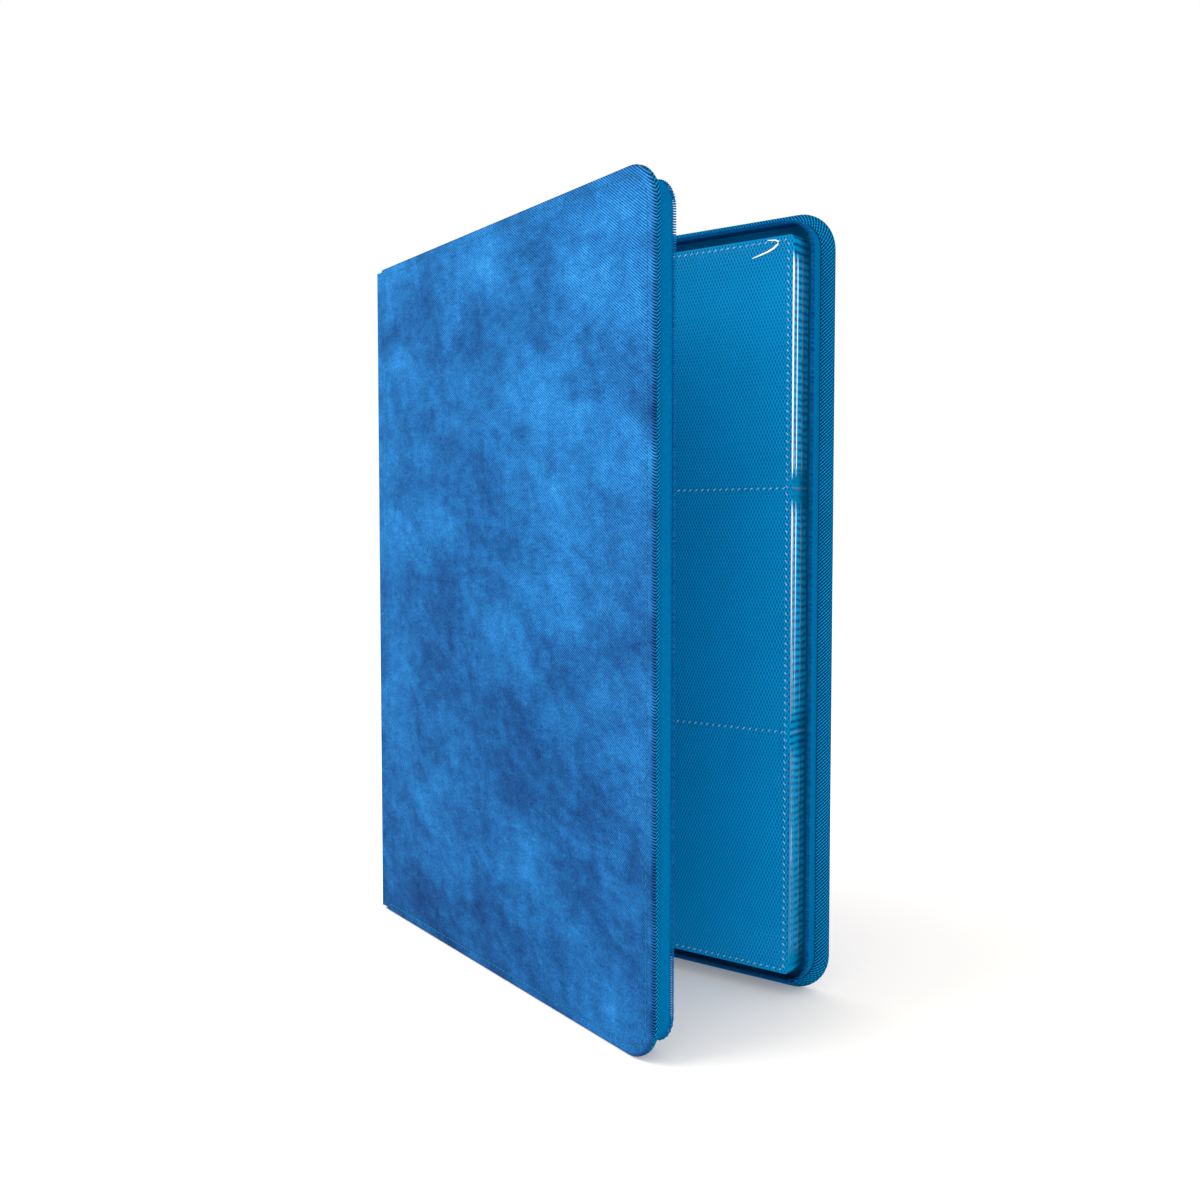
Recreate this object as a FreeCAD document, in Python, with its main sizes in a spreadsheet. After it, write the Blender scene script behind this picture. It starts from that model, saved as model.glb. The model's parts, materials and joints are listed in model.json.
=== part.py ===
import FreeCAD, Part
import math
import os
import Sketcher
from FreeCAD import Placement, Rotation, Vector

# A zip-up album for trading cards, standing on its bottom edge with the front cover a little open.
# Rear cover in the XZ plane, inside towards -Y, spine at low X, free edge at high X, height along Z.
# Depth in a cover is counted from its outer face inwards; inset is counted from its outline inwards.

os.makedirs("parts", exist_ok=True)
doc = FreeCAD.newDocument("CardAlbum")
sheet = doc.addObject("Spreadsheet::Sheet", "dims")

DIMENSIONS = [
    # covers
    ("cover_height", 320.0),
    ("cover_width", 233.0),
    ("corner_radius", 16.0),
    ("spine_width", 29.0),
    ("open_angle", 19.64),
    ("hinge_gap", 3.5),
    ("skin_thickness", 0.8),
    ("wrap_depth", 1.6),
    ("edge_roll", 1.4),
    ("padding_thickness", 0.9),
    ("board_thickness", 1.1),
    ("lining_thickness", 0.3),
    ("layer_inset", 1.3),
    ("lip_clearance", 0.3),
    ("lip_radius", 1.5),
    # stitched line round each cover
    ("stitch_inset", 4.0),
    ("groove_width", 1.0),
    ("thread_width", 0.5),
    ("groove_depth", 0.35),
    # edge wall, zipper tape and coil
    ("band_start", 5.0),
    ("wall_thickness", 0.6),
    ("wall_turn_depth", 2.8),
    ("wall_mid_depth", 4.4),
    ("wall_mid_inset", 1.3),
    ("wall_end_depth", 6.0),
    ("wall_end_inset", 3.4),
    ("tape_inset", 4.2),
    ("tape_thickness", 0.5),
    ("tape_depth", 10.5),
    ("coil_tip_depth", 12.7),
    ("coil_thickness", 2.0),
    ("coil_start", 8.0),
    ("stop_length", 2.0),
    ("stop_proud", 0.15),
    # spine
    ("spine_short", 1.6),
    ("spine_clearance", 1.1),
    ("spine_corner", 2.0),
    ("spine_board_thickness", 1.4),
    ("spine_board_inset", 0.8),
    ("spine_lining_thickness", 0.4),
    # pages
    ("page_count", 20),
    ("page_low", 9.3),
    ("page_height", 300.1),
    ("page_free_inset", 10.8),
    ("page_corner", 4.0),
    ("page_pivot", 6.0),
    ("page_margin_start", 3.3),
    ("stack_start", 3.3),
    ("page_pitch", 0.62),
    ("backing_thickness", 0.24),
    ("film_thickness", 0.1),
    ("film_border", 1.2),
    ("binding_margin", 8.9),
    ("binding_depth", 2.9),
    ("binding_flange", 0.4),
    ("flange_extra", 3.2),
    # slider
    ("slider_start", 14.0),
    ("slider_length", 10.0),
    ("slider_half_width", 5.0),
    ("slider_plate", 1.0),
    ("slider_gap", 2.5),
    ("slot_gap", 1.0),
    ("flange_width", 0.7),
    ("bridge_width", 0.9),
    ("bridge_length", 3.0),
    ("bridge_clearance", 0.3),
    ("pin_radius", 0.45),
    ("pin_along", 2.7),
    ("pin_height", 1.3),
    ("lug_offset", 2.0),
    ("lug_thickness", 0.8),
    ("lug_half_length", 0.9),
    ("barrel_radius", 0.9),
    ("pin_play", 0.05),
    ("puller_length", 22.0),
    ("puller_width", 5.8),
    ("puller_thickness", 0.9),
    ("puller_hole_radius", 1.4),
]


class Size:
    """A number together with the expression that ties it to the sheet."""

    def __init__(self, text, number):
        self.text = text
        self.number = number

    @staticmethod
    def of(thing):
        return thing if isinstance(thing, Size) else Size(f"{thing}", float(thing))

    def __add__(self, other):
        other = Size.of(other)
        return Size(f"({self.text} + {other.text})", self.number + other.number)

    def __sub__(self, other):
        other = Size.of(other)
        return Size(f"({self.text} - {other.text})", self.number - other.number)

    def __mul__(self, other):
        other = Size.of(other)
        return Size(f"({self.text} * {other.text})", self.number * other.number)


for row, (alias, value) in enumerate(DIMENSIONS, start=1):
    sheet.set(f"A{row}", alias)
    sheet.set(f"B{row}", str(value))
    sheet.setAlias(f"B{row}", alias)
doc.recompute()
SIZES = {alias: Size(f"dims.{alias}", float(sheet.get(alias))) for alias, value in DIMENSIONS}


def size(alias):
    return SIZES[alias]


def number(alias):
    return SIZES[alias].number


ZERO = Size("0", 0.0)
subparts = []


# ---------------------------------------------------------------- sketches and features

def bind(sketch, constraint, name, length):
    """Adds a dimension to the sketch and ties it to the sheet."""
    index = sketch.addConstraint(constraint)
    sketch.renameConstraint(index, name)
    sketch.setExpression(f"Constraints.{name}", length.text)


def step_towards(start, end, distance):
    return start + (end - start).normalize() * distance


def draw_outline(sketch, corners):
    """Closed outline of upright and level lines through corners (x, y, radius or None)."""
    points = [Vector(x.number, y.number, 0) for x, y, radius in corners]
    radii = [radius.number if radius else 0.0 for x, y, radius in corners]
    count = len(corners)
    lines = []
    for i in range(count):
        here, there = points[i], points[(i + 1) % count]
        start = step_towards(here, there, radii[i])
        end = step_towards(there, here, radii[(i + 1) % count])
        lines.append(sketch.addGeometry(Part.LineSegment(start, end), False))
    for i, (x, y, radius) in enumerate(corners):
        before, after = lines[i - 1], lines[i]
        if not radius:
            sketch.addConstraint(Sketcher.Constraint("Coincident", before, 2, after, 1))
            continue
        arriving = (points[i] - points[i - 1]).normalize()
        leaving = (points[(i + 1) % count] - points[i]).normalize()
        centre = points[i] - arriving * radii[i] + leaving * radii[i]
        turns_left = arriving.x * leaving.y - arriving.y * leaving.x > 0
        first = -leaving if turns_left else arriving
        begin = math.atan2(first.y, first.x)
        circle = Part.Circle(centre, Vector(0, 0, 1), radii[i])
        arc = sketch.addGeometry(Part.ArcOfCircle(circle, begin, begin + math.pi / 2), False)
        near, far = (1, 2) if turns_left else (2, 1)
        sketch.addConstraint(Sketcher.Constraint("Tangent", before, 2, arc, near))
        sketch.addConstraint(Sketcher.Constraint("Tangent", arc, far, after, 1))
        bind(sketch, Sketcher.Constraint("Radius", arc, radii[i]), f"radius{i}", radius)
    for i, (x, y, radius) in enumerate(corners):
        level = abs(points[i].y - points[(i + 1) % count].y) < 1e-9
        sketch.addConstraint(Sketcher.Constraint("Horizontal" if level else "Vertical", lines[i]))
        kind, axis, place = ("DistanceY", -1, y) if level else ("DistanceX", -2, x)
        if abs(place.number) < 1e-9:
            sketch.addConstraint(Sketcher.Constraint("PointOnObject", lines[i], 1, axis))
        else:
            constraint = Sketcher.Constraint(kind, -1, 1, lines[i], 1, place.number)
            bind(sketch, constraint, f"place{i}", place)


def add_sketch(body, plane, offset, corners):
    sketch = body.newObject("Sketcher::SketchObject", f"{body.Name}_sketch")
    origin_plane = next(f for f in body.Origin.OriginFeatures if f.Role == plane)
    sketch.AttachmentSupport = [(origin_plane, "")]
    sketch.MapMode = "FlatFace"
    sketch.AttachmentOffset = Placement(Vector(0, 0, offset.number), Rotation())
    sketch.setExpression("AttachmentOffset.Base.z", offset.text)
    draw_outline(sketch, corners)
    return sketch


def new_body(name):
    body = doc.addObject("PartDesign::Body", name)
    body.Label = name
    return body


def add_pad(body, sketch, length, backwards=False):
    pad = body.newObject("PartDesign::Pad", f"{body.Name}_pad")
    pad.Profile = sketch
    pad.setExpression("Length", length.text)
    pad.Reversed = backwards
    body.Tip = pad
    return pad


def keep(part, placement):
    part.Placement = placement
    subparts.append(part)


# ---------------------------------------------------------------- covers

class Side:
    """One cover: its name, which way depth runs along Y, and where its hinge axis stands."""

    def __init__(self, name, inward, placement):
        self.name = name
        self.inward = inward
        self.placement = placement

    def offset(self, depth):
        """The sketch offset of a depth; an XZ sketch looks towards -Y."""
        return depth if self.inward < 0 else ZERO - depth

    def sketch(self, body, depth, corners):
        return add_sketch(body, "XZ_Plane", self.offset(depth), corners)

    def pad(self, body, depth, length, corners):
        return add_pad(body, self.sketch(body, depth, corners), length, backwards=self.inward > 0)

    def slab(self, name, depth, length, corners):
        body = new_body(f"{self.name}_{name}")
        self.pad(body, depth, length, corners)
        keep(body, self.placement)
        return body

    def box_y(self, depth, length):
        """Where a box of that length starts along Y to cover the depth."""
        return depth.number if self.inward > 0 else -depth.number - length.number


free_edge = size("hinge_gap") + size("cover_width")


def panel(left, inset):
    """Cover outline pulled in by inset, with both free corners rounded."""
    right = free_edge - inset
    top = size("cover_height") - inset
    radius = size("corner_radius") - inset
    return [(left, inset, None), (right, inset, radius), (right, top, radius), (left, top, None)]


def band(left, outer, inner):
    """Strip that follows the top, free and bottom edges between two insets."""
    outer_right, inner_right = free_edge - outer, free_edge - inner
    outer_top, inner_top = size("cover_height") - outer, size("cover_height") - inner
    outer_radius, inner_radius = size("corner_radius") - outer, size("corner_radius") - inner
    return [
        (left, outer, None),
        (outer_right, outer, outer_radius),
        (outer_right, outer_top, outer_radius),
        (left, outer_top, None),
        (left, inner_top, None),
        (inner_right, inner_top, inner_radius),
        (inner_right, inner, inner_radius),
        (left, inner, None),
    ]


def make_skin(side):
    """Outer fabric: the face, its wrap round the edges, the lip over the hinge and the stitch groove."""
    body = new_body(f"{side.name}_skin")
    side.pad(body, ZERO, size("skin_thickness"), panel(size("hinge_gap"), ZERO))
    wrap = size("wrap_depth") - size("skin_thickness")
    side.pad(body, size("skin_thickness"), wrap, band(size("hinge_gap"), ZERO, size("skin_thickness")))
    low, high = size("spine_short"), size("cover_height") - size("spine_short")
    lip_right = size("hinge_gap") + size("layer_inset")
    lip = [
        (size("lip_clearance"), low, size("lip_radius")),
        (lip_right, low, None),
        (lip_right, high, None),
        (size("lip_clearance"), high, size("lip_radius")),
    ]
    side.pad(body, ZERO, size("skin_thickness"), lip)
    doc.recompute()
    solid_volume = body.Shape.Volume

    half = size("groove_width") * 0.5
    inset = size("stitch_inset")
    groove = body.newObject("PartDesign::Pocket", f"{body.Name}_groove")
    groove.Profile = side.sketch(body, ZERO, band(size("coil_start"), inset - half, inset + half))
    groove.setExpression("Length", size("groove_depth").text)
    groove.Reversed = side.inward < 0
    body.Tip = groove
    doc.recompute()
    assert body.Shape.Volume < solid_volume - 1, "the stitch groove cuts nothing"

    outline_edges = [
        f"Edge{i}"
        for i, edge in enumerate(groove.Shape.Edges, start=1)
        if on_outline(edge)
    ]
    roll = body.newObject("PartDesign::Fillet", f"{body.Name}_roll")
    roll.Base = (groove, outline_edges)
    roll.setExpression("Radius", size("edge_roll").text)
    body.Tip = roll
    keep(body, side.placement)


def on_outline(edge):
    """True for the edges of the outer face that run along the top, free and bottom outline."""
    box = edge.BoundBox
    at_face = max(abs(box.YMin), abs(box.YMax)) < 1e-6
    past_lip = box.XMax > number("hinge_gap") + number("layer_inset") + 1
    top, bottom = number("cover_height") - box.ZMax, box.ZMin
    free = free_edge.number - box.XMax
    return at_face and past_lip and min(top, bottom, free) < 1e-6


def make_wall(side):
    """Twill band that leaves the cover's edge and curves in to the zipper tape."""
    body = new_body(f"{side.name}_edge_wall")
    thick = size("wall_thickness")
    rings = [
        (size("wrap_depth"), ZERO),
        (size("wall_turn_depth"), ZERO),
        (size("wall_mid_depth"), size("wall_mid_inset")),
        (size("wall_end_depth"), size("wall_end_inset")),
    ]
    sections = [
        side.sketch(body, depth, band(size("band_start"), inset, inset + thick)) for depth, inset in rings
    ]
    loft = body.newObject("PartDesign::AdditiveLoft", f"{body.Name}_loft")
    loft.Profile = sections[0]
    loft.Sections = sections[1:]
    loft.Ruled = True
    body.Tip = loft
    keep(body, side.placement)


def make_stops(side):
    """Two small metal crimps where the coil ends beside the spine."""
    proud = size("stop_proud")
    coil_inset = size("tape_inset") + size("tape_thickness") * 0.5 - size("coil_thickness") * 0.5
    depth = size("coil_tip_depth") - size("tape_depth")
    tall = size("coil_thickness") + proud * 2
    boxes = []
    lows = (coil_inset - proud, size("cover_height") - coil_inset - tall + proud)
    for where, low in zip(("low", "high"), lows):
        box = doc.addObject("Part::Box", f"{side.name}_stop_{where}")
        box.setExpression("Length", size("stop_length").text)
        box.setExpression("Width", depth.text)
        box.setExpression("Height", tall.text)
        x = number("coil_start") - number("stop_length")
        box.Placement = Placement(Vector(x, side.box_y(size("tape_depth"), depth), low.number), Rotation())
        boxes.append(box)
    stops = doc.addObject("Part::Compound", f"{side.name}_zip_stops")
    stops.Label = f"{side.name}_zip_stops"
    stops.Links = boxes
    keep(stops, side.placement)


def make_cover(side):
    make_skin(side)
    layer_left = size("hinge_gap") + size("layer_inset") * 0.5
    layer = panel(layer_left, size("layer_inset"))
    depth = size("skin_thickness")
    for name in ("padding", "board", "lining"):
        thickness = size(f"{name}_thickness")
        side.slab(name, depth, thickness, layer)
        depth = depth + thickness
    half_thread = size("thread_width") * 0.5
    inset = size("stitch_inset")
    thread = band(size("coil_start"), inset - half_thread, inset + half_thread)
    side.slab("stitching", size("groove_depth") * 0.2, size("groove_depth") * 0.8, thread)
    make_wall(side)
    tape_inner = size("tape_inset") + size("tape_thickness")
    tape = band(size("band_start"), size("tape_inset"), tape_inner)
    side.slab("zip_tape", depth, size("tape_depth") - depth, tape)
    coil_outer = size("tape_inset") + size("tape_thickness") * 0.5 - size("coil_thickness") * 0.5
    coil = band(size("coil_start"), coil_outer, coil_outer + size("coil_thickness"))
    side.slab("zip_coil", size("tape_depth"), size("coil_tip_depth") - size("tape_depth"), coil)
    make_stops(side)


rear_hinge = Vector(0, 0, 0)
front_hinge = Vector(0, -number("spine_width"), 0)
opened = Rotation(Vector(0, 0, 1), -number("open_angle"))
make_cover(Side("rear", -1, Placement(rear_hinge, Rotation())))
make_cover(Side("front", 1, Placement(front_hinge, opened)))


# ---------------------------------------------------------------- spine

# The spine's own Y starts at the front hinge, so its sketches hold only positive places.
at_front_hinge = Placement(front_hinge, Rotation())
spine_low = size("spine_short")
spine_high = size("cover_height") - size("spine_short")


def spine_slab(name, start, thickness, side_inset, end_inset, corner=None):
    """Upright plate across the spine; a YZ sketch looks towards +X."""
    body = new_body(name)
    left, right = side_inset, size("spine_width") - side_inset
    low, high = spine_low + end_inset, spine_high - end_inset
    corners = [(left, low, corner), (right, low, corner), (right, high, corner), (left, high, corner)]
    add_pad(body, add_sketch(body, "YZ_Plane", start, corners), thickness)
    keep(body, at_front_hinge)


clearance = size("spine_clearance")
spine_slab("spine_skin", ZERO, size("skin_thickness"), clearance, ZERO, size("spine_corner"))
board_inset = size("spine_board_inset")
skin_thickness = size("skin_thickness")
board_thickness = size("spine_board_thickness")
lining_start = skin_thickness + board_thickness
lining_thickness = size("spine_lining_thickness")
spine_slab("spine_board", skin_thickness, board_thickness, clearance + board_inset, board_inset)
spine_slab("spine_lining", lining_start, lining_thickness, clearance + board_inset, board_inset)
binding_start = lining_start + lining_thickness


# ---------------------------------------------------------------- pages and their binding

stack_depth = size("page_pitch") * size("page_count")


def make_box(name, length, width, height, corner):
    box = doc.addObject("Part::Box", name)
    box.setExpression("Length", length.text)
    box.setExpression("Width", width.text)
    box.setExpression("Height", height.text)
    box.Placement = Placement(corner, Rotation())
    return box


def make_binding():
    """Folded strip sewn to the spine, which holds the bound edges of all the pages."""
    rear_y = -number("stack_start")
    block_y = rear_y - stack_depth.number
    flange_width = stack_depth + size("flange_extra")
    flange_y = rear_y - flange_width.number
    start = binding_start.number
    low = number("page_low")
    block = make_box(
        "binding_block", size("binding_depth"), stack_depth, size("page_height"),
        Vector(start, block_y, low),
    )
    flange = make_box(
        "binding_flange_strip", size("binding_flange"), flange_width, size("page_height"),
        Vector(start, flange_y, low),
    )
    strip = doc.addObject("Part::MultiFuse", "page_binding")
    strip.Label = "page_binding"
    strip.Shapes = [block, flange]
    keep(strip, Placement())
    thread_y = flange_y + number("flange_extra") * 0.4
    thread = make_box(
        "binding_stitching", size("groove_depth"), size("thread_width"), size("page_height"),
        Vector(start + number("binding_flange"), thread_y, low),
    )
    thread.Label = "binding_stitching"
    keep(thread, thread.Placement)


def make_page(index):
    """One leaf: a woven backing with a clear pocket film welded to each face."""
    body = new_body(f"page_{index:02d}")
    right, low = free_edge - size("page_free_inset"), size("page_low")
    high = low + size("page_height")
    leaf_thickness = size("backing_thickness") + size("film_thickness") * 2
    layers = [
        (size("page_margin_start"), ZERO, size("backing_thickness")),
        (size("binding_margin"), size("film_border"), leaf_thickness),
    ]
    for margin, border, thickness in layers:
        left, radius = size("page_pivot") + margin, size("page_corner") - border
        corners = [
            (left, low + border, None),
            (right - border, low + border, radius),
            (right - border, high - border, radius),
            (left, high - border, None),
        ]
        add_pad(body, add_sketch(body, "XZ_Plane", ZERO - thickness * 0.5, corners), thickness)
    middle = -number("stack_start") - number("page_pitch") * (index - 0.5)
    keep(body, Placement(Vector(0, middle, 0), Rotation()))


make_binding()
for index in range(1, int(number("page_count")) + 1):
    make_page(index)


# ---------------------------------------------------------------- zipper slider

coil_middle = size("cover_height") - size("tape_inset") - size("tape_thickness") * 0.5
slider_y = -number("spine_width") / 2
slider_width = size("slider_half_width") * 2
lower_face = coil_middle.number - number("slider_gap") / 2
upper_face = coil_middle.number + number("slider_gap") / 2
plate_top = upper_face + number("slider_plate")
pin_z = plate_top + number("pin_height")
pin_x = number("slider_start") + number("pin_along")


def across(name, radius, half_length):
    """Cylinder along Y, centred on the pin's axis."""
    cylinder = doc.addObject("Part::Cylinder", name)
    cylinder.setExpression("Radius", radius.text)
    cylinder.setExpression("Height", (half_length * 2).text)
    turned = Rotation(Vector(1, 0, 0), -90)
    cylinder.Placement = Placement(Vector(pin_x, slider_y - half_length.number, pin_z), turned)
    return cylinder


def cut(name, base, tool):
    result = doc.addObject("Part::Cut", name)
    result.Base = base
    result.Tool = tool
    return result


def make_slider():
    """Two plates joined by a bridge, flanges that hold the rear coil, and lugs for the puller's pin."""
    x = number("slider_start")
    plate_y = slider_y - number("slider_half_width")
    flange_y = slider_y + number("slider_half_width") - number("flange_width")
    flange_tall = (size("slider_gap") - size("slot_gap")) * 0.5
    coil_tip_y = -number("coil_tip_depth")
    bridge_y = coil_tip_y - number("bridge_clearance") - number("bridge_width")
    pieces = [
        make_box("slider_lower_plate", size("slider_length"), slider_width, size("slider_plate"),
                 Vector(x, plate_y, lower_face - number("slider_plate"))),
        make_box("slider_upper_plate", size("slider_length"), slider_width, size("slider_plate"),
                 Vector(x, plate_y, upper_face)),
        make_box("slider_bridge", size("bridge_length"), size("bridge_width"), size("slider_gap"),
                 Vector(x, bridge_y, lower_face)),
        make_box("slider_lower_flange", size("slider_length"), size("flange_width"), flange_tall,
                 Vector(x, flange_y, lower_face)),
        make_box("slider_upper_flange", size("slider_length"), size("flange_width"), flange_tall,
                 Vector(x, flange_y, upper_face - flange_tall.number)),
    ]
    lug_tall = size("pin_height") + size("barrel_radius")
    for where, sense in (("front", -1), ("rear", 1)):
        lug_y = slider_y + sense * number("lug_offset") - (number("lug_thickness") if sense < 0 else 0)
        pieces.append(
            make_box(f"slider_lug_{where}", size("lug_half_length") * 2, size("lug_thickness"), lug_tall,
                     Vector(pin_x - number("lug_half_length"), lug_y, plate_top))
        )
    blank = doc.addObject("Part::MultiFuse", "slider_blank")
    blank.Shapes = pieces
    half_span = size("lug_offset") + size("lug_thickness")
    slider = cut("slider_body", blank, across("slider_bore", size("pin_radius"), half_span + 1))
    slider.Label = "slider_body"
    keep(slider, Placement())
    pin = across("slider_pin", size("pin_radius"), half_span)
    pin.Label = "slider_pin"
    keep(pin, pin.Placement)


def make_puller():
    """Flat tab that turns on the pin, with a hole at its far end."""
    half_barrel = size("lug_offset") - size("pin_play") * 2
    barrel = across("puller_barrel", size("barrel_radius"), half_barrel)
    neck_length = size("barrel_radius") * 3
    tab_z = pin_z - number("puller_thickness") / 2
    neck = make_box("puller_neck", neck_length, half_barrel * 2, size("puller_thickness"),
                    Vector(pin_x, slider_y - half_barrel.number, tab_z))
    tab_x = pin_x + neck_length.number - 0.5
    tab = make_box("puller_tab", size("puller_length") - neck_length, size("puller_width"),
                   size("puller_thickness"), Vector(tab_x, slider_y - number("puller_width") / 2, tab_z))
    blank = doc.addObject("Part::MultiFuse", "puller_blank")
    blank.Shapes = [barrel, neck, tab]
    bore = across("puller_bore", size("pin_radius") + size("pin_play"), half_barrel + 1)
    bored = cut("puller_bored", blank, bore)
    hole = doc.addObject("Part::Cylinder", "puller_hole")
    hole.setExpression("Radius", size("puller_hole_radius").text)
    hole.setExpression("Height", size("spine_width").text)
    hole_x = tab_x + number("puller_length") - neck_length.number - number("puller_hole_radius") * 2
    hole.Placement = Placement(Vector(hole_x, slider_y, pin_z - number("spine_width") / 2), Rotation())
    puller = cut("zip_puller", bored, hole)
    puller.Label = "zip_puller"
    keep(puller, Placement())


make_slider()
make_puller()


# ---------------------------------------------------------------- origin, checks and files

doc.recompute()
whole = FreeCAD.BoundBox()
for part in subparts:
    whole.add(part.Shape.optimalBoundingBox(True, False))
# The origin is the middle of the footprint of the standing, slightly opened album.
to_origin = Placement(Vector(-whole.Center.x, -whole.Center.y, -whole.ZMin), Rotation())
for part in subparts:
    part.Placement = to_origin.multiply(part.Placement)
doc.recompute()

for item in doc.Objects:
    failed = [state for state in item.State if state in ("Invalid", "Error")]
    assert not failed, f"{item.Name} is {failed}"
for part in subparts:
    assert not part.Shape.isNull() and part.Shape.isValid(), f"{part.Label} has no valid shape"
    part.Shape.exportStep(f"parts/{part.Label}.step")

print("sub-parts", len(subparts))
print("rear hinge at", to_origin.Base.x, to_origin.Base.y)
print("front hinge at", to_origin.Base.x + front_hinge.x, to_origin.Base.y + front_hinge.y)
print("size", whole.XLength, whole.YLength, whole.ZLength)
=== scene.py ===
import json
import math

import bmesh
import bpy
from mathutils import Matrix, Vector, noise


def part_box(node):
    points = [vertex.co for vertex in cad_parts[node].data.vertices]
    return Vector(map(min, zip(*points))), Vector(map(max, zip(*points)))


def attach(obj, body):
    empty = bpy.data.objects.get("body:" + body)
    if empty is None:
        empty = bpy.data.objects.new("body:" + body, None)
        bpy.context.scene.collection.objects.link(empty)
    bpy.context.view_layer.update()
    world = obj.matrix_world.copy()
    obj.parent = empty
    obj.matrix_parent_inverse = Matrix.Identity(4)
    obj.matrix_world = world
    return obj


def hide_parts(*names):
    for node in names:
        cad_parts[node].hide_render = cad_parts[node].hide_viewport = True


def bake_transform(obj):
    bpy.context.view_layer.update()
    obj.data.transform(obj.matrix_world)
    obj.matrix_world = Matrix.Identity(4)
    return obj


# Looks for a zip-up card album that stands with its front cover a little open.
# Places on a cover are (along, depth, height): along from its hinge to its free edge, depth inwards
# from its outer face, height above the table. Lengths are in metres, inside materials in millimetres.

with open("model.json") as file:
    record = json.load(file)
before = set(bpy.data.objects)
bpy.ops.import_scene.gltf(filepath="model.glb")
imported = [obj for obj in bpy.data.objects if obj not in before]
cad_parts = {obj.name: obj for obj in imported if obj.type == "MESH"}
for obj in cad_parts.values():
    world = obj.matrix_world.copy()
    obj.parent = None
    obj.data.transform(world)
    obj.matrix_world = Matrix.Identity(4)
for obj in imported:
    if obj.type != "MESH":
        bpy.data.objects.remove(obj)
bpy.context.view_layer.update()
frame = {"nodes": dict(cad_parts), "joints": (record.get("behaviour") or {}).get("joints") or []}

MM = 0.001
SHARP_TURN = math.radians(50)
JOINTS = {joint["name"]: joint for joint in frame["joints"]}
REAR_HINGE = Vector(JOINTS["spine_hinge"]["pos_m"])
FRONT_HINGE = Vector(JOINTS["front_hinge"]["pos_m"])
OPEN_ANGLE = math.radians(-JOINTS["front_hinge"]["range_deg"][0])
SPINE_WIDTH = REAR_HINGE.y - FRONT_HINGE.y
COVER_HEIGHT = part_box("rear_skin")[1].z
FREE_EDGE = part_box("rear_skin")[1].x - REAR_HINGE.x
PAGE_NODES = sorted(name for name in frame["nodes"] if name.startswith("page_") and name[-1].isdigit())

# covers
CORNER = 16 * MM
COVER_START = 4.1 * MM
LIP_END = 5.6 * MM
ROLL = 1.4 * MM
STITCH_INSET = 4 * MM
BAND_START = 5 * MM
COIL_START = 8 * MM
WRAP_DEPTH = 1.5 * MM
LINING_DEPTH = 3.1 * MM
TAPE_INSET = 4.45 * MM
TAPE_END = 10.5 * MM
COIL_MIDDLE = 11.6 * MM
CORE_DEPTH = 10.7 * MM
STITCH_PITCH = 3.0 * MM
SPINE_SHORT = 1.6 * MM

# pages
PAGE_LOW = 9.3 * MM
PAGE_HIGH = 309.4 * MM
PAGE_FREE = 225.7 * MM
PAGE_CORNER = 2 * MM
BINDING_FACE = 5.5 * MM
MARGIN_END = 9.3 * MM
POCKET_COLUMNS = [16.1 * MM, 85.1 * MM, 154.1 * MM, 223.1 * MM]
POCKET_ROWS = [10.9 * MM, 109.2 * MM, 208.4 * MM, 307.4 * MM]
FRONT_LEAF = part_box(PAGE_NODES[-1])[0].y
# leaf number from 0, then its rim's radius and material number, where 1 is a painted white highlight and 2
# a painted grey highlight; other leaves have a plain rim
FILM_RIMS = {19: (0.36 * MM, 1), 17: (0.24 * MM, 2), 14: (0.32 * MM, 1), 7: (0.32 * MM, 2)}
PLAIN_RIM = (0.22 * MM, 3)


# ---------------- places

def on_rear(along, depth, height):
    """A place on the rear cover in the frame's axes."""
    return Vector((REAR_HINGE.x + along, REAR_HINGE.y - depth, height))


def on_front(along, depth, height):
    """A place on the front cover, which stands open."""
    turned_x = along * math.cos(OPEN_ANGLE) + depth * math.sin(OPEN_ANGLE)
    turned_y = -along * math.sin(OPEN_ANGLE) + depth * math.cos(OPEN_ANGLE)
    return Vector((FRONT_HINGE.x + turned_x, FRONT_HINGE.y + turned_y, height))


COVERS = {"rear": on_rear, "front": on_front}


class Station:
    """A stop on the way round a cover's free outline: inset counts inwards from the outline."""

    def __init__(self, base, outward):
        self.base = base
        self.outward = outward
        self.travelled = 0.0

    def at(self, inset):
        """(along, height) at that inset."""
        reach = CORNER - inset
        return self.base[0] + self.outward[0] * reach, self.base[1] + self.outward[1] * reach


def steps(start, end, spacing):
    """Evenly spaced numbers from start to end, both included."""
    count = max(1, round(abs(end - start) / spacing))
    return [start + (end - start) * i / count for i in range(count + 1)]


def route(left, spacing, corner_steps=14):
    """Stations along the bottom, free and top edges of a cover, from left round to left."""
    right = FREE_EDGE - CORNER
    top = COVER_HEIGHT - CORNER
    places = [((along, CORNER), (0, -1)) for along in steps(left, right, spacing)]
    arc = [math.pi / 2 * i / corner_steps for i in range(1, corner_steps)]
    places += [((right, CORNER), (math.sin(turn), -math.cos(turn))) for turn in arc]
    places += [((right, height), (1, 0)) for height in steps(CORNER, top, spacing)]
    places += [((right, top), (math.cos(turn), math.sin(turn))) for turn in arc]
    places += [((along, top), (0, 1)) for along in steps(right, left, spacing)]
    stations = [Station(base, outward) for base, outward in places]
    for before, after in zip(stations, stations[1:]):
        step = Vector(after.at(STITCH_INSET)) - Vector(before.at(STITCH_INSET))
        after.travelled = before.travelled + step.length
    return stations


# ---------------- meshes

def grid_faces(rows, columns, closed):
    """Quads over a grid of points stored row by row; closed joins the last column to the first."""
    faces = []
    for row in range(rows - 1):
        for column in range(columns if closed else columns - 1):
            here = row * columns + column
            side = row * columns + (column + 1) % columns
            faces.append((here, side, side + columns, here + columns))
    return faces


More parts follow.
